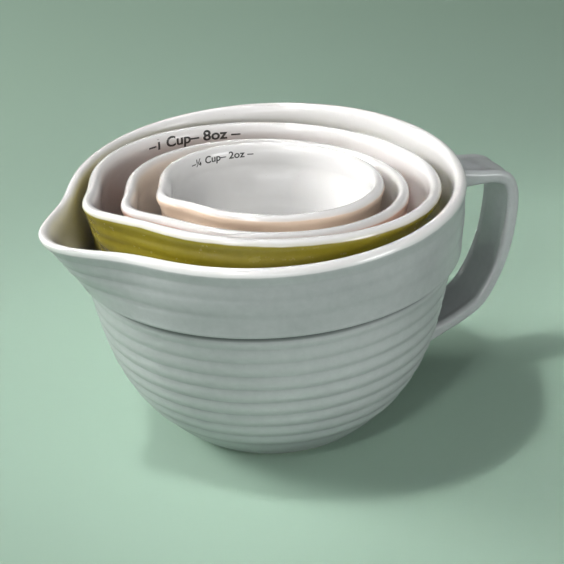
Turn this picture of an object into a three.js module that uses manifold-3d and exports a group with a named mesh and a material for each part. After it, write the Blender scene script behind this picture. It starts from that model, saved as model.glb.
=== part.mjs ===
import * as THREE from "three";
import Module from "manifold-3d";

// A nested set of four spouted measuring cups. Millimetres, +Z up, spouts towards -X, handle towards +X.

// Large cup: the sizes that drive the set.
const rimAcross = 103.8;        // outside width of the rim, side to side
const largeHeight = 71;         // table to rim
const wall = 3;                 // glazed wall
const ovalness = 1.033;         // rim length over rim width, spout left out
const bandShare = 0.289;        // part of the height taken by the plain upper band
const ringCount = 9;            // throwing rings below the band
const ringDepth = 0.35;         // half the height of a ring
const bandStep = 2.1;           // how far the band's lower edge stands out over the rings
const bandTaper = 1;            // how much the band narrows from its top to its lower edge
const lipFlare = 0.5;           // how far the rounded lip stands out over the band

// Fits.
const restGap = 0.45;           // between a cup's foot and the floor of the cup that holds it
const handleGap = 0.3;          // between the handle's ends and the wall
const nestLean = 5.4;           // degrees, the three inner cups lean towards the handle
const nestSide = 3;             // degrees, and a little to the back

// Strap handle, in the plane through the spout.
const strapWidth = 14.2;
const strapThick = 3.8;
const strapRound = 1.2;
const handleReach = 20.8;       // how far the grip stands out from the rim

const largeRadius = rimAcross / 2;

// Each cup by its share of the large cup's size. The marked volumes set the floors and fullness.
const cups = {
  large_cup: { radius: largeRadius, height: largeHeight, foot: 0.422 * largeRadius, floor: 6.1,
    spout: 12.5, spread: 0.268, full: 0.64, segments: 48, color: 0x9fa9a8 },
  one_cup_measure: { radius: 0.88 * largeRadius, height: 0.899 * largeHeight, foot: 0.374 * largeRadius,
    floor: 5.8, spout: 5.8, spread: 0.23, full: 0.7, segments: 40, color: 0x7d7a2e },
  half_cup_measure: { radius: 0.71 * largeRadius, height: 0.786 * largeHeight, foot: 0.3 * largeRadius,
    floor: 5.6, spout: 4.6, spread: 0.23, full: 0.58, segments: 36, color: 0xc99a80 },
  quarter_cup_measure: { radius: 0.563 * largeRadius, height: 0.724 * largeHeight, foot: 0.225 * largeRadius,
    floor: 5.6, spout: 3.6, spread: 0.22, full: 0.45, segments: 32, color: 0xe0c8b6 },
};

const smooth = (t) => {
  const u = Math.min(1, Math.max(0, t));
  return u * u * (3 - 2 * u);
};

const bandFoot = (cup) => cup.height * (1 - bandShare);

// Outside radius without rings, across the cup, at a height below the band.
const bodyRadius = (cup, z) => {
  const share = z / bandFoot(cup);
  const top = cup.radius - lipFlare - bandTaper - bandStep;
  return cup.foot + (top - cup.foot) * (cup.full * (1 - Math.pow(1 - share, 4)) + (1 - cup.full) * share);
};

// Rings, band and lip, from the foot up.
function outsideProfile(cup, clear = 0) {
  const ringTop = bandFoot(cup);
  const ringFoot = 0.139 * cup.height;
  const pitch = (ringTop - ringFoot) / ringCount;
  const points = [[bodyRadius(cup, 0.04 * cup.height), 0.04 * cup.height]];
  for (let i = 0; i < ringCount; i += 1) {
    const z = ringFoot + i * pitch;
    points.push([bodyRadius(cup, z) - ringDepth, z]);
    points.push([bodyRadius(cup, z + 0.5 * pitch) + ringDepth, z + 0.5 * pitch]);
  }
  const band = cup.radius - lipFlare;
  points.push([bodyRadius(cup, ringTop) - ringDepth, ringTop]);
  points.push([band - bandTaper, ringTop + 0.6]);
  points.push([band, ringTop + 0.6 * (cup.height - ringTop)]);
  points.push([band, cup.height - 4.5]);
  points.push([cup.radius, cup.height - 2]);
  return points.map(([r, z]) => [r + clear, z]);
}

// Inside radius: the wall's thickness is kept square to its slope, and the inside runs smoothly
// from the bowl up through the band.
function insideRadius(cup, z) {
  const edge = bandFoot(cup);
  const straight = cup.radius - lipFlare - wall;
  const bowl = (height) => bodyRadius(cup, height) + ringDepth
    - wall / Math.cos(Math.atan(bodyRadius(cup, height + 0.5) - bodyRadius(cup, height - 0.5)));
  const start = edge - 3;
  const ease = smooth((z - start) / (cup.height - 5 - start));
  return bowl(Math.min(edge - 0.5, Math.max(0.6, z))) + (straight - bowl(edge - 0.5)) * ease;
}

// The whole section of a cup, from the axis underneath, round the lip, to the axis on the floor.
function cupProfile(cup) {
  const lip = cup.radius;
  const top = cup.height;
  const steps = 8;
  const low = cup.floor + 2.4;
  const inside = [];
  for (let i = 0; i <= steps; i += 1) {
    const z = top - 6 - (top - 6 - low) * (i / steps);
    inside.push([insideRadius(cup, z), z]);
  }
  const corner = inside[steps][0];
  return [
    [0, 1.6], [cup.foot - 4.2, 1.6], [cup.foot - 3, 0], [cup.foot - 0.6, 0], [cup.foot, 0.7],
    ...outsideProfile(cup),
    [lip - 0.5, top - 0.5], [lip - 1.6, top], [lip - 2.7, top - 0.5], [lip - wall - 0.2, top - 2.2],
    ...inside,
    [corner - 1.7, cup.floor + 0.8], [corner - 4.2, cup.floor + 0.1], [0, cup.floor],
  ].map(([r, z]) => new THREE.Vector2(r, z));
}

// Revolves a section, then draws it into an oval and pulls the spout.
function revolve(cup, profile, segments) {
  const lathe = new THREE.LatheGeometry(profile, segments);
  lathe.rotateX(Math.PI / 2);
  const at = lathe.attributes.position;
  for (let i = 0; i < at.count; i += 1) {
    const z = at.getZ(i);
    const radius = Math.hypot(at.getX(i), at.getY(i));
    if (radius < 1e-6) {
      at.setXYZ(i, 0, 0, z);
      continue;
    }
    const even = Math.atan2(at.getY(i), -at.getX(i));
    const turn = even - 0.36 * Math.sin(even);
    const rise = Math.max(0, (z - bandFoot(cup)) / (cup.height - bandFoot(cup)));
    const pull = cup.spout * Math.pow(rise, 1.1) * Math.exp(-Math.pow(turn / cup.spread, 2));
    const long = 1 + (ovalness - 1) * smooth(z / bandFoot(cup));
    at.setXYZ(i, -(radius * long + pull) * Math.cos(turn), (radius + pull) * Math.sin(turn), z);
  }
  lathe.computeVertexNormals();
  return lathe;
}

function cupMesh(name) {
  const cup = cups[name];
  const mesh = new THREE.Mesh(revolve(cup, cupProfile(cup), cup.segments),
    new THREE.MeshStandardMaterial({ name, color: cup.color, roughness: 0.35 }));
  mesh.name = name;
  return mesh;
}

// Handle: a flat strap along a path in the XZ plane, cut to the wall.
const wasm = await Module();
wasm.setup();
const { Manifold, Mesh } = wasm;

function toManifold(geometry) {
  const flat = geometry.index ? geometry.toNonIndexed() : geometry;
  const p = flat.attributes.position;
  const seen = new Map();
  const vertices = [];
  const corners = [];
  for (let i = 0; i < p.count; i += 1) {
    const key = [p.getX(i), p.getY(i), p.getZ(i)].map((v) => Math.round(v * 1e4) + 0).join(",");
    if (!seen.has(key)) {
      seen.set(key, seen.size);
      vertices.push(p.getX(i), p.getY(i), p.getZ(i));
    }
    corners.push(seen.get(key));
  }
  const triangles = [];
  for (let i = 0; i < corners.length; i += 3) {
    const [a, b, c] = corners.slice(i, i + 3);
    if (a !== b && b !== c && c !== a) triangles.push(a, b, c);
  }
  return new Manifold(new Mesh({ numProp: 3, vertProperties: Float32Array.from(vertices),
    triVerts: Uint32Array.from(triangles) }));
}

function fromManifold(solid) {
  const mesh = solid.getMesh();
  const geometry = new THREE.BufferGeometry();
  geometry.setAttribute("position", new THREE.BufferAttribute(new Float32Array(mesh.vertProperties), 3));
  geometry.setIndex(new THREE.BufferAttribute(new Uint32Array(mesh.triVerts), 1));
  geometry.computeVertexNormals();
  return geometry;
}

function handleMesh() {
  const cup = cups.large_cup;
  const long = largeRadius * ovalness;
  const grip = long + handleReach - strapThick / 2;
  const h = largeHeight;
  const path = new THREE.CatmullRomCurve3([
    new THREE.Vector3(long - 8, 0.864 * h, 0),
    new THREE.Vector3(long + 1, 0.848 * h, 0),
    new THREE.Vector3(grip - 10.1, 0.829 * h, 0),
    new THREE.Vector3(grip - 5, 0.816 * h, 0),
    new THREE.Vector3(grip - 1.4, 0.788 * h, 0),
    new THREE.Vector3(grip, 0.739 * h, 0),
    new THREE.Vector3(grip, 0.676 * h, 0),
    new THREE.Vector3(grip - 0.9, 0.592 * h, 0),
    new THREE.Vector3(grip - 2.4, 0.507 * h, 0),
    new THREE.Vector3(grip - 4.6, 0.43 * h, 0),
    new THREE.Vector3(grip - 7.5, 0.359 * h, 0),
    new THREE.Vector3(grip - 11, 0.3 * h, 0),
    new THREE.Vector3(grip - 15, 0.268 * h, 0),
    new THREE.Vector3(grip - 23, 0.228 * h, 0),
    new THREE.Vector3(grip - 36, 0.184 * h, 0),
    new THREE.Vector3(grip - 44, 0.162 * h, 0),
  ], false, "centripetal");
  const steps = 26;
  const outer = [];
  const inner = [];
  const half = strapThick / 2 - strapRound;
  for (let i = 0; i <= steps; i += 1) {
    const at = path.getPointAt(i / steps);
    const along = path.getTangentAt(i / steps);
    outer.push(new THREE.Vector2(at.x - along.y * -half, at.y + along.x * -half));
    inner.push(new THREE.Vector2(at.x + along.y * -half, at.y - along.x * -half));
  }
  const strap = new THREE.ExtrudeGeometry(new THREE.Shape([...outer, ...inner.reverse()]), {
    depth: strapWidth - 2 * strapRound, bevelEnabled: true, bevelThickness: strapRound,
    bevelSize: strapRound, bevelSegments: 3, curveSegments: 1,
  });
  strap.translate(0, 0, -(strapWidth - 2 * strapRound) / 2);
  strap.rotateX(Math.PI / 2);
  const shell = outsideProfile(cup, handleGap);
  const core = revolve(cup, [[0, 0.3], [cup.foot + handleGap, 0.3], ...shell,
    [cup.radius + handleGap, cup.height + 5], [0, cup.height + 5]]
    .map(([r, z]) => new THREE.Vector2(r, z)), cup.segments);
  const cut = toManifold(strap).subtract(toManifold(core));
  const pieces = cut.decompose().sort((a, b) => b.volume() - a.volume());
  const mesh = new THREE.Mesh(fromManifold(pieces[0]),
    new THREE.MeshStandardMaterial({ name: "large_cup_handle", color: cup.color, roughness: 0.35 }));
  mesh.name = "large_cup_handle";
  return mesh;
}

// The nest: each inner cup stands on the floor of the next, all three leaning together.
const rad = THREE.MathUtils.degToRad;
const lean = new THREE.Matrix4().makeRotationFromEuler(new THREE.Euler(
  -rad(nestSide), rad(nestLean), 0));
const footLean = Math.sin(rad(Math.hypot(nestLean, nestSide))) * cups.one_cup_measure.foot;
const nestFoot = new THREE.Vector3(
  -Math.sin(rad(nestLean)) * cups.one_cup_measure.height,
  -Math.sin(rad(nestSide)) * cups.one_cup_measure.height,
  cups.large_cup.floor + restGap + footLean,
);
const seats = {
  one_cup_measure: [0, 0],
  half_cup_measure: [0.6, cups.one_cup_measure.floor + restGap],
  quarter_cup_measure: [1.8, cups.one_cup_measure.floor + cups.half_cup_measure.floor + 2 * restGap],
};

const set = new THREE.Group();
set.name = "measuring_cup_set";
set.add(cupMesh("large_cup"), handleMesh());
for (const [name, [along, up]] of Object.entries(seats)) {
  const mesh = cupMesh(name);
  mesh.geometry.translate(along, 0, up);
  mesh.geometry.applyMatrix4(lean);
  mesh.geometry.translate(nestFoot.x, nestFoot.y, nestFoot.z);
  set.add(mesh);
}

// The spout-to-handle length is centred on the origin.
const box = new THREE.Box3().setFromObject(set);
for (const mesh of set.children) mesh.geometry.translate(-(box.min.x + box.max.x) / 2, 0, 0);

export default set;
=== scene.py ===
# Nest of four glazed ceramic measuring cups: shapes, glazes, floor, light and camera.
import math

import bmesh
import bpy
from mathutils import Matrix, Vector


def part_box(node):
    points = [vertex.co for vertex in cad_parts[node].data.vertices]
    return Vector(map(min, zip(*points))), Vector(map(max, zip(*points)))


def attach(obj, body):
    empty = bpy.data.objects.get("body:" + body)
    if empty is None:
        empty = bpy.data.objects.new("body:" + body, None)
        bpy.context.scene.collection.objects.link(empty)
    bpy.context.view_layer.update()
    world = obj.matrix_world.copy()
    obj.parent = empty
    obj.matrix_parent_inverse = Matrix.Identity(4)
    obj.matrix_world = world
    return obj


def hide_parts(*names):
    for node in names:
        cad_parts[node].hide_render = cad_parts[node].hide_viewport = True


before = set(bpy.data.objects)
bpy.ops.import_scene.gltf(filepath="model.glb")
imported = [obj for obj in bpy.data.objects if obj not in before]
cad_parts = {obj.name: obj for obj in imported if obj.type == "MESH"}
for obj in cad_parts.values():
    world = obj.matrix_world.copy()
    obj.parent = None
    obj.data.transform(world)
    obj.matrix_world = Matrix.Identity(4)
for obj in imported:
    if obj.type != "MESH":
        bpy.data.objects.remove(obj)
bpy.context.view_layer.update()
scene = bpy.context.scene

# the set's sizes, in millimetres unless a note says otherwise
setShape = {
    "height": 71,           # large cup, table to rim
    "ovalness": 1.033,      # rim length over rim width, spout left out
    "bandShare": 0.289,     # part of a cup's height taken by the plain upper band
    "ringCount": 9,         # throwing rings below the band
    "ringDepth": 0.3,
    "bandStep": 2.1,
    "bandTaper": 1.0,
    "lipFlare": 0.5,
    "wall": 3.0,
    "ringFoot": 0.139,      # where the rings start, part of the cup's height
    "underHollow": 1.6,     # how far the foot's middle is raised off the table
    "lipInset": 3.5,        # rim's outer edge to the straight inner wall
    "bandPool": 0.5,        # depth of the groove under the band
    "floorRound": 4.2,      # inner corner between wall and floor, across
    "floorRise": 2.4,       # the same corner, upwards
    "restGap": 0.45,
    "halfAlong": 0.6,       # the half and quarter cups sit this far towards the handle
    "quarterAlong": 1.8,
    "nestLean": 5.4,        # degrees, the inner cups lean towards the handle
    "nestSide": 3.0,        # degrees, and a little to the back
    "columns": 176,         # faces round a cup
}

low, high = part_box("large_cup")
mm = high[2] / setShape["height"]               # one millimetre of the set, in metres
largeRadius = (high[1] - low[1]) / 2 / mm
axisX = high[0] / mm - largeRadius * setShape["ovalness"]   # the large cup's own axis


def smooth(t):
    t = min(1, max(0, t))
    return t * t * (3 - 2 * t)


def smoothPath(points, count):
    # centripetal curve through the points, cut into count even steps
    pts = [Vector(p) for p in points]
    pts = [pts[0] * 2 - pts[1]] + pts + [pts[-1] * 2 - pts[-2]]
    fine = []
    for a, b, c, d in zip(pts, pts[1:], pts[2:], pts[3:]):
        t1 = max(1e-6, (b - a).length) ** 0.5
        t2 = t1 + max(1e-6, (c - b).length) ** 0.5
        t3 = t2 + max(1e-6, (d - c).length) ** 0.5
        for k in range(12):
            t = t1 + (t2 - t1) * k / 12
            ab = a.lerp(b, t / t1)
            bc = b.lerp(c, (t - t1) / (t2 - t1))
            cd = c.lerp(d, (t - t2) / (t3 - t2))
            fine.append(ab.lerp(bc, t / t2).lerp(bc.lerp(cd, (t - t1) / (t3 - t1)), (t - t1) / (t2 - t1)))
    fine.append(pts[-2].copy())
    reach = [0.0]
    for p, q in zip(fine, fine[1:]):
        reach.append(reach[-1] + (q - p).length)
    out, k = [], 0
    for i in range(count + 1):
        want = reach[-1] * i / count
        while k < len(reach) - 2 and reach[k + 1] < want:
            k += 1
        span = max(1e-9, reach[k + 1] - reach[k])
        out.append(fine[k].lerp(fine[k + 1], (want - reach[k]) / span))
    return out


# the rim's inner half: how far in from its outer edge, and how far below its top
innerLip = [(1.5, 0), (2.4, 0.22), (3.05, 1.05), (3.38, 2.2), (setShape["lipInset"], 3.6)]


class CupForm:
    # one cup in its own frame: axis on z, spout towards -x, foot on z = 0, millimetres
    def __init__(self, size):
        self.radius = size["radius"] * largeRadius
        self.height = size["height"] * setShape["height"]
        self.foot = size["foot"] * largeRadius
        self.floor = size["floor"]
        self.spout = size["spout"]
        self.spread = size["spread"]
        self.full = size["full"]
        self.bandFoot = self.height * (1 - setShape["bandShare"])
        self.band = self.radius - setShape["lipFlare"]
        self.ringFoot = setShape["ringFoot"] * self.height
        self.pitch = (self.bandFoot - self.ringFoot) / setShape["ringCount"]

    def body(self, z):
        share = z / self.bandFoot
        top = self.band - setShape["bandTaper"] - setShape["bandStep"]
        rise = self.full * (1 - (1 - share) ** 4) + (1 - self.full) * share
        return self.foot + (top - self.foot) * rise

    def ring(self, z):
        # height of the throwing rings: wide crests, narrow valleys, fading at the foot
        phase = (z - self.ringFoot) / self.pitch
        if phase < 0:
            return -smooth(1 + phase * 2)
        if phase > setShape["ringCount"]:
            return 0.0
        fade = 1 - 0.5 * smooth((z / self.bandFoot - 0.5) * 2)
        return (2 * abs(math.sin(math.pi * phase)) ** 0.8 - 1) * fade

    def bandRadius(self, z):
        rise = (z - self.bandFoot) / (0.6 * (self.height - self.bandFoot))
        plain = self.band - setShape["bandTaper"] * (1 - smooth(rise))
        edge = (z - self.bandFoot) / 0.6
        inner = self.body(self.bandFoot) - setShape["ringDepth"] - setShape["bandPool"]
        if edge < 1:
            return inner + (plain - inner) * math.sqrt(max(0, 1 - (1 - edge) ** 2))
        return plain

    def outside(self, z):
        if z >= self.bandFoot:
            return self.bandRadius(z)
        return self.body(z) + setShape["ringDepth"] * self.ring(z)

    def groove(self, z):
        # three faint turning lines on the band
        depth = 0
        for share in (0.33, 0.58, 0.8):
            mid = self.bandFoot + share * (self.height - self.bandFoot)
            depth += math.exp(-(((z - mid) / 0.85) ** 2))
        return depth

    def bowl(self, z):
        # inside of the bowl, the wall's thickness kept square to its slope
        slope = math.atan(self.body(z + 0.5) - self.body(z - 0.5))
        return self.body(z) + setShape["ringDepth"] - setShape["wall"] / math.cos(slope)

    def inside(self, z):
        straight = self.band - setShape["wall"]
        start, edge = self.bandFoot - 3, self.bandFoot - 0.5
        ease = smooth((z - start) / (self.height - 5 - start))
        return self.bowl(min(edge, max(0.6, z))) + (straight - self.bowl(edge)) * ease

    def point(self, r, z, turn):
        # a section's point carried round the cup, with the oval and the spout
        rise = max(0, (z - self.bandFoot) / (self.height - self.bandFoot))
        pull = self.spout * rise ** 1.1 * math.exp(-((turn / self.spread) ** 2))
        fade = min(1, r / (0.6 * self.radius))
        long = 1 + (setShape["ovalness"] - 1) * smooth(z / self.bandFoot)
        pull *= fade
        return Vector((-(r * long + pull) * math.cos(turn), (r + pull) * math.sin(turn), z))

    def section(self):
        # (radius, height, ring tone with painted shade under the band, groove, bare clay)
        # from the axis underneath, up the outside, to the axis on the inner floor
        foot, top = self.foot, self.height
        hollow = setShape["underHollow"]
        rows = [(r, hollow, 0, 0, 0) for r in (0, 0.5 * foot, foot - 5.2)]
        # in from the foot's edge, and height
        footRing = [(4.4, 1.5), (3.8, 0.9), (3.1, 0.15), (2.5, 0.02),
                    (1.7, 0), (0.9, 0.03), (0.35, 0.3), (0, 0.8)]
        for back, z in footRing:
            rows.append((foot - back, z, 0, 0, 1 if z < 0.5 else 0))
        steps = 4
        start = 0.04 * self.height
        for i in range(1, steps):
            t = i / steps
            z = 0.8 + (start - 0.8) * t
            rows.append((foot + (self.outside(start) - foot) * t ** 0.8, z, 0, 0, 0))
        ringRows = setShape["ringCount"] * 8
        z = start
        while z < self.ringFoot - 0.2:
            rows.append((self.outside(z), z, self.ring(z), 0, 0))
            z += 0.9
        for i in range(ringRows):
            z = self.ringFoot + (self.bandFoot - self.ringFoot) * i / ringRows
            # painted shade: towards the band's foot the tone drops far below the rings', so the glaze there
            # is painted dark; the groove is also cut deeper
            grooveAndShade = smooth((z - self.bandFoot + 2.9) / 1.6)
            rows.append((self.outside(z) - setShape["bandPool"] * grooveAndShade, z, self.ring(z) - 2.4 * grooveAndShade, 0, 0))
        last = self.bandFoot - 0.02
        rows.append((self.outside(last) - setShape["bandPool"], last, -3, 0, 0))
        # the band's rounded underside starts in the same painted shade and clears towards its edge
        for lift in (0.02, 0.07, 0.16, 0.3, 0.6, 1.2):
            z = self.bandFoot + lift
            rows.append((self.bandRadius(z), z, min(0.3, lift * 5 - 2.4), 0, 0))
        bandTop = top - 4.6
        bandRows = 22
        for i in range(1, bandRows + 1):
            z = self.bandFoot + 1.2 + (bandTop - self.bandFoot - 1.2) * i / bandRows
            rows.append((self.bandRadius(z), z, -0.5 * self.groove(z), self.groove(z), 0))
        lip = self.radius
        edge = [(self.band, bandTop), (self.band + 0.08, top - 3.9), (lip - 0.16, top - 3),
                (lip, top - 2.1), (lip - 0.12, top - 1.3), (lip - 0.6, top - 0.45)]
        edge += [(lip - back, top - down) for back, down in innerLip]
        edge.append((lip - setShape["lipInset"], top - 6))
        for p in smoothPath([(r, z, 0) for r, z in edge], 30)[1:]:
            rows.append((p.x, p.y, 0, 0, 0))
        across, rise = setShape["floorRound"], setShape["floorRise"]
        lowEdge = self.floor + rise
        for i in range(1, 37):
            z = top - 6 - (top - 6 - lowEdge) * i / 36
            rows.append((min(lip - setShape["lipInset"], self.inside(z)), z, 0, 0, 0))
        corner = rows[-1][0]
        for i in range(1, 9):
            turn = math.pi / 2 * i / 8
            r = corner - across + across * math.cos(turn)
            rows.append((r, lowEdge - rise * math.sin(turn), 0, 0, 0))
        for share in (0.75, 0.5, 0.25, 0):
            rows.append(((corner - across) * share, self.floor, 0, 0, 0))
        return rows

    def innerPoint(self, turn, depth, proud):
        # a point on the inner wall, a depth below the rim, raised a little off it
        z = self.height - depth
        edge = innerLip + [(setShape["lipInset"], 40)]
        for (a, da), (b, db) in zip(edge, edge[1:]):
            if depth <= db:
                back = a + (b - a) * (depth - da) / (db - da)
                break
        return self.point(self.radius - back - proud, z, turn)


def makeCup(name, form, place, glaze, body):
    rows = form.section()
    lipRow = max(range(len(rows)), key=lambda i: rows[i][1])
    reach = [0.0] * len(rows)
    for i in range(lipRow - 1, -1, -1):
        reach[i] = reach[i + 1] + math.dist(rows[i][:2], rows[i + 1][:2])
    for i in range(lipRow + 1, len(rows)):
        reach[i] = reach[i - 1] - math.dist(rows[i][:2], rows[i - 1][:2])
    count = setShape["columns"]
    verts, faces, marks = [], [], []
    for k in range(1, len(rows) - 1):
        r, z, tone, groove, bare = rows[k]
        for i in range(count):
            even = 2 * math.pi * i / count - math.pi
            turn = even - 0.36 * math.sin(even)
            cut = groove * (0.1 + 0.34 * math.exp(-((turn / 0.55) ** 2)))
            verts.append(form.point(r - cut, z, turn) * mm)
            marks.append((reach[k], tone + (tone if groove else 0) * math.exp(-((turn / 0.55) ** 2)), bare))
    for k in range(len(rows) - 3):
        for i in range(count):
            j = (i + 1) % count
            a, b = k * count, (k + 1) * count
            faces.append((a + i, b + i, b + j, a + j))
    for row, rim, flip in ((0, 0, False), (len(rows) - 1, (len(rows) - 3) * count, True)):
        hub = len(verts)
        verts.append(Vector((0, 0, rows[row][1] * mm)))
        marks.append((reach[row], 0, 0))
        for i in range(count):
            j = (i + 1) % count
            faces.append((hub, rim + j, rim + i) if flip else (hub, rim + i, rim + j))
    mesh = bpy.data.meshes.new(name)
    mesh.from_pydata([tuple(v) for v in verts], [], faces)
    piece = glazedPiece(name, mesh, marks, place, glaze, body)
    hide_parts(body)


def glazedPiece(name, mesh, marks, place, glaze, body):
    # marks say, point by point, how far below the rim it is, its ring tone with the painted shade under the
    # band, and its bare clay
    for index, layerName in enumerate(("lipReach", "glazeToneAndShade", "bareClay")):
        layer = mesh.attributes.new(layerName, "FLOAT", "POINT")
        layer.data.foreach_set("value", [mark[index] for mark in marks])
    cleanMesh(mesh)
    piece = bpy.data.objects.new(name, mesh)
    scene.collection.objects.link(piece)
    piece.matrix_world = place
    mesh.materials.append(glaze)
    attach(piece, body)
    print("made", name, len(mesh.polygons), "faces")
    return piece


def cleanMesh(mesh):
    work = bmesh.new()
    work.from_mesh(mesh)
    bmesh.ops.recalc_face_normals(work, faces=work.faces)
    for face in work.faces:
        face.smooth = True
    work.to_mesh(mesh)
    work.free()
    mesh.update()


class Sock:
    # a value socket that Python's operators can be used on
    def __init__(self, maker, link):
        self.maker, self.link = maker, link

    def join(self, operation, *values):
        made = self.maker.node("ShaderNodeMath", {"operation": operation}, dict(enumerate(values)))
        return Sock(self.maker, made.outputs[0])

    def __add__(self, other):
        return self.join("ADD", self, other)

    def __sub__(self, other):
        return self.join("SUBTRACT", self, other)

    def __rsub__(self, other):
        return self.join("SUBTRACT", other, self)

    def __mul__(self, other):
        return self.join("MULTIPLY", self, other)

    __radd__, __rmul__ = __add__, __mul__

    def clamp(self):
        return self.join("MAXIMUM", self.join("MINIMUM", self, 1), 0)

    def step(self, start, end):
        # 0 below start, 1 above end, eased between
        made = self.maker.node("ShaderNodeMapRange", {"interpolation_type": "SMOOTHSTEP"},
                               {"Value": self, "From Min": start, "From Max": end})
        return Sock(self.maker, made.outputs["Result"])


class Maker:
    # one material's node tree
    def __init__(self, name):
        self.material = bpy.data.materials.new(name)
        self.material.use_nodes = True
        self.tree = self.material.node_tree
        self.shader = self.tree.nodes["Principled BSDF"]
        self.place = self.node("ShaderNodeTexCoord", {}, {}).outputs["Object"]

    def node(self, kind, settings, inputs):
        made = self.tree.nodes.new(kind)
        for key, value in settings.items():
            setattr(made, key, value)
        for key, value in inputs.items():
            self.feed(made.inputs[key], value)
        return made

    def feed(self, socket, value):
        if isinstance(value, Sock):
            value = value.link
        if isinstance(value, bpy.types.NodeSocket):
            self.tree.links.new(value, socket)
        else:
            socket.default_value = value

    def mark(self, name):
        return Sock(self, self.node("ShaderNodeAttribute", {"attribute_name": name}, {}).outputs["Fac"])

    def noise(self, scale, detail=2.0, rough=0.5, where=None):
        made = self.node("ShaderNodeTexNoise", {}, {
            "Vector": where or self.place, "Scale": scale, "Detail": detail, "Roughness": rough})
        return Sock(self, made.outputs["Fac"])

    def cells(self, scale):
        made = self.node("ShaderNodeTexVoronoi", {"feature": "F1"}, {"Vector": self.place, "Scale": scale})
        return Sock(self, made.outputs["Distance"])

    def stretched(self, across, up):
        # the object's place, squeezed so that a texture runs round the cup in lines
        made = self.node("ShaderNodeMapping", {}, {"Vector": self.place, "Scale": (across, across, up)})
        return made.outputs["Vector"]

    def mix(self, share, first, second):
        made = self.node("ShaderNodeMix", {"data_type": "RGBA"}, {0: share, 6: first, 7: second})
        return made.outputs[2]

    def bump(self, height, distance, strength, below=None):
        inputs = {"Height": height, "Distance": distance, "Strength": strength}
        if below is not None:
            inputs["Normal"] = below
        return self.node("ShaderNodeBump", {}, inputs).outputs["Normal"]

    def set(self, **values):
        for key, value in values.items():
            self.feed(self.shader.inputs[key.replace("_", " ")], value)


def rgb(r, g, b):
    # screen colour 0 to 255 as a linear colour
    def one(v):
        v /= 255
        return v / 12.92 if v <= 0.04045 else ((v + 0.055) / 1.055) ** 2.4
    return (one(r), one(g), one(b), 1)


def glazeMaterial(name, look):
    m = Maker(name)
    reach, tone, bare = m.mark("lipReach"), m.mark("glazeToneAndShade"), m.mark("bareClay")
    cloud = m.noise(look["cloudScale"], 3, 0.55)
    broad = m.noise(look["cloudScale"] * 0.35, 1)
    mottle = m.noise(420, 3, 0.6)
    lines = m.noise(1, 3, 0.55, where=m.stretched(25, 900))
    hand = m.noise(95, 2)
    # the glaze thins on crests and runs thick in the ring valleys; under the band the much lower tone is
    # painted shade
    thin = (0.5 + tone * look["breakOver"] + (cloud - 0.5) * 0.5 + (mottle - 0.5) * 0.35).clamp()
    # painted shade: the outside darkens towards the foot, from 38 to 95 mm below the rim along the section
    thin = (thin - reach.step(38, 95) * look["lowShade"]).clamp()
    coat = m.mix(thin, look["thick"], look["thin"])
    coat = m.mix((broad - 0.5) * 0.5 + 0.25, coat, look["drift"])
    # the pool colour: a little glaze pooled in the ring valleys, and painted shade in the gap under the
    # band's edge
    coat = m.mix((tone * -0.5 - 0.35).clamp(), coat, look["grooveAndShade"])
    speck = 1 - m.cells(900).step(0.1, 0.2)
    coat = m.mix(speck * (mottle - 0.44).clamp() * look["speckle"], coat, look["speckColor"])
    # white inside, poured and drained: a little cream in the thick places, cool at the thin lip
    poured = m.mix((cloud * 0.6 + mottle * 0.3).clamp(), look["whiteThick"], look["whiteThin"])
    pin = 1 - m.cells(300).step(0.02, 0.05)
    poured = m.mix(pin * 0.35, poured, rgb(196, 188, 176))
    lipEdge = reach + (hand - 0.5) * look["handLine"]
    dipped = lipEdge.step(look["lipEdge"] - 0.22, look["lipEdge"] + 0.22)
    blush = lipEdge.step(look["lipEdge"] - 1.3, look["lipEdge"]) * (1 - dipped) * look["blush"]
    color = m.mix(blush, poured, look["thin"])
    color = m.mix(dipped, color, coat)
    # the foot's contact ring is wiped to bare clay
    wiped = (bare + (m.noise(600, 2) - 0.5) * 0.5).step(0.4, 0.6)
    grain = m.noise(1600, 4, 0.7)
    clay = m.mix(grain, rgb(196, 184, 166), rgb(226, 217, 202))
    color = m.mix(wiped, color, clay)
    rough = look["roughInside"] + dipped * (look["roughOutside"] - look["roughInside"])
    rough = rough + (mottle - 0.5) * 0.08 + (lines - 0.5) * 0.06 + wiped * 0.45
    peel = m.noise(230, 2, 0.5)
    height = peel * 0.5 + mottle * 0.12 + lines * dipped * look["lines"] + grain * wiped * 0.8 - speck * 0.1
    relief = m.bump(height, 0.00012, look["relief"])
    relief = m.bump(dipped * (1 - wiped), 0.00006, 0.6, relief)
    m.set(Base_Color=color, Roughness=rough.clamp(), Normal=relief, Coat_Weight=(1 - wiped) * look["coat"],
          Coat_Roughness=look["coatRough"], IOR=1.5, Coat_IOR=1.5, Specular_IOR_Level=0.45)
    return m.material


# the common look darkens the lower body as painted shade
commonLook = {
    "cloudScale": 38, "lowShade": 0.65, "breakOver": 0.2, "speckle": 0.5, "speckColor": rgb(110, 112, 104),
    "whiteThick": rgb(228, 226, 222), "whiteThin": rgb(238, 239, 240), "handLine": 0.7,
    "lipEdge": 2.6, "blush": 0.28, "roughInside": 0.2, "roughOutside": 0.36, "lines": 0.35,
    "relief": 0.5, "coat": 0.55, "coatRough": 0.12,
}


# radius, height and foot are shares of the large cup's radius, height and radius
largeCup = {
    "radius": 1.0, "height": 1.0, "foot": 0.422, "floor": 6.1,
    "spout": 12.5, "spread": 0.268,     # how far it pours out, and how wide, in radians
    "full": 0.64,                       # how full-bellied the bowl is, 0 straight to 1 round
}
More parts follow.
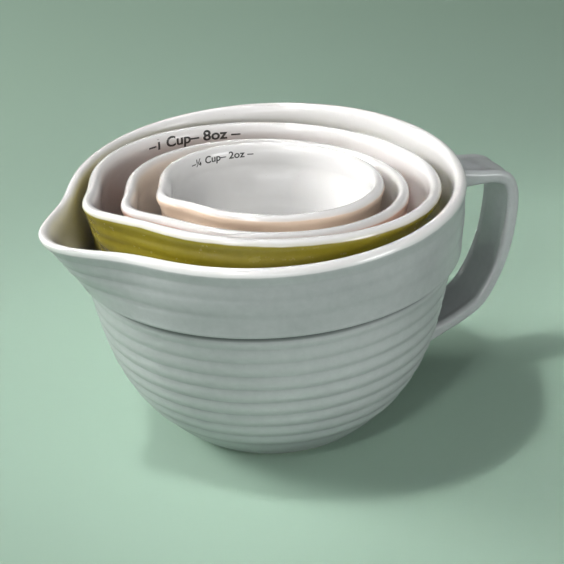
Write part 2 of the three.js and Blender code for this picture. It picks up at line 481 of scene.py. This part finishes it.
# the pool colour is glaze pooled in the ring valleys and the painted shade under the band
largeLook = commonLook | {
    "thick": rgb(132, 138, 138), "thin": rgb(196, 200, 200),
    "drift": rgb(170, 175, 175), "grooveAndShade": rgb(58, 64, 64),
}
largeForm = CupForm(largeCup)
largePlace = Matrix.Translation((axisX * mm, 0, 0))
largeGlaze = glazeMaterial("blue grey satin glaze", largeLook)
makeCup("largeCupBody", largeForm, largePlace, largeGlaze, "large_cup")


handleShape = {
    "width": 14.2,
    "thick": 3.8,
    "corner": 1.45,         # rounding of the strap's long edges
    "crown": 0.35,          # how far the flat faces belly
    "reach": 20.8,          # grip beyond the rim
    "fillet": 2.2,          # flare where it meets the wall
    "root": 0.9,            # how much thicker each side grows towards the wall
    "bury": 1.0,            # how far the ends go into the wall
    "rings": 120,
}


# the strap's four corners in order, with the angle each starts at
strapCorners = [(1, 1, 0), (-1, 1, 90), (-1, -1, 180), (1, -1, 270)]


def strapSection(values, swell, root):
    # points round the strap: (across, out, edge tone), swollen evenly near the wall
    halfWide, halfThick = values["width"] / 2 + swell, values["thick"] / 2 + swell + root
    corner = values["corner"] + 0.6 * swell
    points = []
    inner = halfWide - corner
    for k, (sideY, sideN, start) in enumerate(strapCorners):
        for i in range(7):
            turn = math.radians(start + 15 * i)
            across = sideY * inner + corner * math.cos(turn)
            out = sideN * (halfThick - corner) + corner * math.sin(turn)
            points.append((across, out, 1.0))
        # along the flat side that follows this corner
        endY, endN, _ = strapCorners[(k + 1) % 4]
        if endY != sideY:
            for i in range(1, 12):
                share = i / 12
                belly = values["crown"] * (math.sin(math.pi * share) - 1)
                edge = smooth(abs(share - 0.5) * 3 - 0.9)
                points.append(((sideY + (endY - sideY) * share) * inner, sideN * (halfThick + belly), edge))
        else:
            for i in range(1, 3):
                out = (sideN + (endN - sideN) * i / 3) * (halfThick - corner)
                points.append((endY * halfWide, out, 0.7))
    return points


def makeHandle():
    v, form = handleShape, largeForm
    long = largeRadius * setShape["ovalness"]
    grip = long + v["reach"] - v["thick"] / 2
    h = setShape["height"]
    # out from the wall, round the grip and back: (place, share of the cup's height)
    line = [(long - 8, 0.864), (long + 1, 0.848), (grip - 10.1, 0.829), (grip - 5, 0.816),
            (grip - 1.4, 0.788), (grip, 0.739), (grip, 0.676), (grip - 0.9, 0.592),
            (grip - 2.4, 0.507), (grip - 4.6, 0.43), (grip - 7.5, 0.359), (grip - 11, 0.3),
            (grip - 15, 0.268), (grip - 23, 0.228), (grip - 36, 0.184), (grip - 44, 0.162)]
    path = smoothPath([(x, 0, share * h) for x, share in line], 400)

    def wallX(y, z):
        r = form.outside(max(1, z))
        oval = 1 + (setShape["ovalness"] - 1) * smooth(z / form.bandFoot)
        return oval * math.sqrt(max(1, r * r - y * y))

    clear = [p.x - wallX(0, p.z) for p in path]
    middle = max(range(len(path)), key=lambda i: clear[i])
    first = max(i for i in range(middle) if clear[i] < -v["bury"])
    last = min(i for i in range(middle, len(path)) if clear[i] < -v["bury"])
    verts, faces, tones = [], [], []
    per = len(strapSection(v, 0, 0))
    for k in range(v["rings"] + 1):
        # closer rings at both ends
        share = 0.5 - 0.5 * math.cos(math.pi * k / v["rings"])
        share = 0.45 * share + 0.55 * k / v["rings"]
        at = first + share * (last - first)
        i = min(len(path) - 2, int(at))
        here = path[i].lerp(path[i + 1], at - i)
        along = (path[min(len(path) - 1, i + 3)] - path[max(0, i - 3)]).normalized()
        outward = Vector((-along.z, 0, along.x))
        gap = here.x - wallX(0, here.z)
        near = min(1, max(0, gap) / v["fillet"])
        swell = v["fillet"] * (1 - math.sqrt(1 - (1 - near) ** 2))
        hug = 1 - smooth((gap - v["fillet"]) / 5)
        root = v["root"] * smooth(1 - gap / 13)
        for across, out, tone in strapSection(v, swell, root):
            p = here + outward * out
            hugged = wallX(across, p.z) + gap
            p.x += (hugged - p.x) * hug
            p.y = across
            verts.append(p * mm)
            tones.append(tone * 0.9 - 0.25 - hug * 0.3)
    for k in range(v["rings"]):
        for i in range(per):
            j = (i + 1) % per
            a, b = k * per, (k + 1) * per
            faces.append((a + i, a + j, b + j, b + i))
    faces.append(tuple(range(per)))
    faces.append(tuple(range(v["rings"] * per, (v["rings"] + 1) * per)))
    mesh = bpy.data.meshes.new("strapHandle")
    mesh.from_pydata([tuple(p) for p in verts], [], faces)
    farFromLip = 20.0
    marks = [(farFromLip, tone, 0.0) for tone in tones]
    piece = glazedPiece("strapHandle", mesh, marks, largePlace, largeGlaze, "large_cup")
    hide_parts("large_cup_handle")


makeHandle()


# the inner cups lean together
oneCup = {
    "radius": 0.88, "height": 0.899, "foot": 0.374, "floor": 5.8,
    "spout": 5.8, "spread": 0.23, "full": 0.7,
}
halfCup = {
    "radius": 0.71, "height": 0.786, "foot": 0.3, "floor": 5.6,
    "spout": 4.6, "spread": 0.23, "full": 0.58,
}
quarterCup = {
    "radius": 0.563, "height": 0.724, "foot": 0.225, "floor": 5.6,
    "spout": 3.6, "spread": 0.22, "full": 0.45,
}
lean = Matrix.Rotation(-math.radians(setShape["nestSide"]), 4, "X") @ Matrix.Rotation(
    math.radians(setShape["nestLean"]), 4, "Y")
oneForm = CupForm(oneCup)
footLean = math.sin(math.radians(math.hypot(setShape["nestLean"], setShape["nestSide"]))) * oneForm.foot
nestFoot = Vector((
    axisX - math.sin(math.radians(setShape["nestLean"])) * oneForm.height,
    -math.sin(math.radians(setShape["nestSide"])) * oneForm.height,
    largeCup["floor"] + setShape["restGap"] + footLean,
))


def nested(along, up):
    # a place in the nest, in the leaning frame of its outermost cup
    return Matrix.Translation(nestFoot * mm) @ lean @ Matrix.Translation(Vector((along, 0, up)) * mm)


onePlace = nested(0, 0)
halfPlace = nested(setShape["halfAlong"], oneCup["floor"] + setShape["restGap"])
quarterUp = oneCup["floor"] + halfCup["floor"] + 2 * setShape["restGap"]
quarterPlace = nested(setShape["quarterAlong"], quarterUp)

# each pool colour is glaze pooled in the ring valleys and the painted shade under the band
oliveLook = commonLook | {
    "thick": rgb(104, 92, 8), "thin": rgb(164, 152, 48), "drift": rgb(136, 126, 22),
    "speckColor": rgb(70, 66, 20), "grooveAndShade": rgb(48, 42, 6), "roughOutside": 0.26, "lipEdge": 2.2,
}
pinkLook = commonLook | {
    "thick": rgb(188, 138, 110), "thin": rgb(224, 188, 168), "drift": rgb(206, 162, 138),
    "speckColor": rgb(150, 100, 76), "grooveAndShade": rgb(120, 72, 50), "lipEdge": 2.2,
}
peachLook = commonLook | {
    "thick": rgb(228, 196, 168), "thin": rgb(246, 228, 208), "drift": rgb(238, 212, 188),
    "speckColor": rgb(176, 146, 120), "grooveAndShade": rgb(160, 124, 94), "lipEdge": 2.0, "cloudScale": 50,
}
halfForm, quarterForm = CupForm(halfCup), CupForm(quarterCup)
makeCup("oneCupBody", oneForm, onePlace, glazeMaterial("olive glaze", oliveLook),
        "one_cup_measure")
makeCup("halfCupBody", halfForm, halfPlace, glazeMaterial("terracotta pink glaze", pinkLook),
        "half_cup_measure")
makeCup("quarterCupBody", quarterForm, quarterPlace, glazeMaterial("pale peach glaze", peachLook),
        "quarter_cup_measure")


def decalMaterial():
    m = Maker("fired black decal")
    worn = m.noise(900, 3, 0.6)
    body = m.mix(worn.step(0.35, 0.75), rgb(34, 36, 34), rgb(74, 76, 72))
    m.set(Base_Color=body, Roughness=0.3 + worn * 0.25, Normal=m.bump(m.noise(1500, 2), 0.00002, 0.4),
          Coat_Weight=0.3 + worn * 0.2, Coat_Roughness=0.15)
    return m.material


decal = decalMaterial()


def makeMark(name, words, form, place, body, values):
    # words laid on the inner wall, read from inside, between two turns from the spout (degrees)
    curve = bpy.data.curves.new(name + "Text", "FONT")
    curve.body = words
    curve.resolution_u = 4
    curve.offset = values["bold"]
    source = bpy.data.objects.new(name + "Text", curve)
    scene.collection.objects.link(source)
    bpy.context.view_layer.update()
    mesh = bpy.data.meshes.new_from_object(source.evaluated_get(bpy.context.evaluated_depsgraph_get()))
    bpy.data.objects.remove(source)
    bpy.data.curves.remove(curve)
    work = bmesh.new()
    work.from_mesh(mesh)
    bmesh.ops.triangulate(work, faces=work.faces)
    left, right = min(v.co.x for v in work.verts), max(v.co.x for v in work.verts)
    # cut twice, so that the letters can bend to the wall
    for _ in range(2):
        longEdges = [e for e in work.edges if e.calc_length() > (right - left) / 60]
        bmesh.ops.subdivide_edges(work, edges=longEdges, cuts=1)
        bmesh.ops.triangulate(work, faces=work.faces)
    base = list(work.faces)
    top = bmesh.ops.extrude_face_region(work, geom=base)
    raised = {e for e in top["geom"] if isinstance(e, bmesh.types.BMVert)}
    for vert in work.verts:
        share = (vert.co.x - left) / (right - left)
        turn = math.radians(values["from"] + (values["to"] - values["from"]) * share)
        depth = values["depth"] + (0.35 - vert.co.y) * values["letter"] / 0.7
        vert.co = form.innerPoint(turn, depth, 0.05 if vert in raised else -0.05) * mm
    bmesh.ops.recalc_face_normals(work, faces=work.faces)
    work.to_mesh(mesh)
    work.free()
    piece = bpy.data.objects.new(name, mesh)
    scene.collection.objects.link(piece)
    piece.matrix_world = place
    mesh.materials.clear()
    mesh.materials.append(decal)
    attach(piece, body)
    print("made", name, len(mesh.polygons), "faces")


# where each mark lies, in degrees from the spout, and millimetres: below the rim, letter height
oneMark = {"from": 69.5, "to": 107.5, "depth": 2.3, "letter": 2.7, "bold": 0.026}
halfMark = {"from": 68, "to": 107, "depth": 3.6, "letter": 2.2, "bold": 0.022}
quarterMark = {"from": 62.5, "to": 106, "depth": 2.4, "letter": 1.9, "bold": 0.02}
largeMark = {"from": 70, "to": 110, "depth": 7.4, "letter": 2.7, "bold": 0.026}
makeMark("oneCupMark", "–1 Cup– 8oz –", oneForm, onePlace, "one_cup_measure", oneMark)
makeMark("halfCupMark", "–½ Cup– 4oz –", halfForm, halfPlace, "half_cup_measure", halfMark)
makeMark("quarterCupMark", "–¼ Cup– 2oz –", quarterForm, quarterPlace,
         "quarter_cup_measure", quarterMark)
makeMark("largeCupMark", "–1½ Cups– 12oz –", largeForm, largePlace, "large_cup", largeMark)


# half its side in metres, and its two colours
floorLook = {"half": 6.0, "pale": rgb(160, 187, 169), "deep": rgb(155, 182, 164)}


def makeFloor():
    mesh = bpy.data.meshes.new("floor")
    half = floorLook["half"]
    corners = [(-half, -half, 0), (half, -half, 0), (half, half, 0), (-half, half, 0)]
    mesh.from_pydata(corners, [], [(0, 1, 2, 3)])
    floor = bpy.data.objects.new("floor", mesh)
    scene.collection.objects.link(floor)
    m = Maker("sage paper")
    fiber = m.noise(900, 3, 0.6)
    paper = m.mix(m.noise(3, 2), floorLook["deep"], floorLook["pale"])
    m.set(Base_Color=paper, Roughness=0.82 + fiber * 0.1,
          Normal=m.bump(fiber, 0.00005, 0.3), Specular_IOR_Level=0.25)
    mesh.materials.append(m.material)
    print("made the floor")


makeFloor()


cameraView = {
    "turn": -26.93,         # degrees round the object, 0 looks along +y
    "rise": 27.26,          # degrees above the table
    "tip": 2.19,            # degrees of clockwise tilt
    "distance": 903,
    "aimRight": 3.19,
    "aimUp": 40.95,
    "lens": 214.3,
}


def makeCamera():
    turn, rise = math.radians(cameraView["turn"]), math.radians(cameraView["rise"])
    tip = math.radians(cameraView["tip"])
    back = Vector((math.sin(turn) * math.cos(rise), -math.cos(turn) * math.cos(rise), math.sin(rise)))
    side = Vector((math.cos(turn), math.sin(turn), 0))
    up = back.cross(side)
    across = side * math.cos(tip) - up * math.sin(tip)
    upright = up * math.cos(tip) + side * math.sin(tip)
    aim = side * cameraView["aimRight"] + Vector((axisX, 0, cameraView["aimUp"]))
    spot = (aim + back * cameraView["distance"]) * mm
    data = bpy.data.cameras.new("camera")
    data.lens, data.sensor_width = cameraView["lens"], 36
    camera = bpy.data.objects.new("camera", data)
    scene.collection.objects.link(camera)
    camera.matrix_world = Matrix((
        (across.x, upright.x, back.x, spot.x), (across.y, upright.y, back.y, spot.y),
        (across.z, upright.z, back.z, spot.z), (0, 0, 0, 1)))
    scene.camera = camera
    return side, Vector((-back.x, -back.y, 0)).normalized()


sideways, away = makeCamera()


def areaLight(name, spot, aim, size, power, color, spread):
    data = bpy.data.lights.new(name, "AREA")
    data.shape = "RECTANGLE"
    data.size, data.size_y = size
    data.energy = power
    data.color = color
    data.spread = math.radians(spread)
    lamp = bpy.data.objects.new(name, data)
    scene.collection.objects.link(lamp)
    lamp.location = spot
    lamp.rotation_euler = (Vector(aim) - Vector(spot)).to_track_quat("-Z", "Y").to_euler()


def stand(right, far, rise):
    # a place in metres: to the right, away and up, as the camera faces
    return sideways * right + away * far + Vector((0, 0, rise))


lightPlan = [
    # name, place, aim, size, power in watts, colour, spread in degrees
    ("keyLight", (-0.6, 0.1, 0.4), (0, 0, 0.03), (0.3, 0.26), 5.2, (1, 0.99, 0.97), 180),
    ("frontFill", (-0.05, -1.1, 0.3), (0, 0, 0.04), (0.9, 0.35), 3.1, (1, 0.99, 1), 180),
    ("rightFill", (0.8, -0.45, 0.13), (0, 0, 0.04), (0.35, 0.24), 2.4, (1, 0.99, 1), 180),
    ("frontHood", (-0.22, -0.68, 0.64), (0.002, 0, 0.055), (0.28, 0.22), 0.042, (1, 1, 1), 8),
    ("topHood", (-0.26, -0.05, 0.9), (0.014, 0, 0.062), (0.21, 0.2), 0.056, (1, 1, 1), 8),
]
for lightName, place, aim, size, power, color, spread in lightPlan:
    areaLight(lightName, stand(*place), aim, size, power, color, spread)

world = bpy.data.worlds.new("studio")
world.use_nodes = True
sky = world.node_tree.nodes["Background"]
sky.inputs["Color"].default_value = (0.93, 0.96, 0.97, 1)
sky.inputs["Strength"].default_value = 0.12
scene.world = world
scene.view_settings.view_transform = "Standard"
scene.view_settings.look = "None"
print("lit")
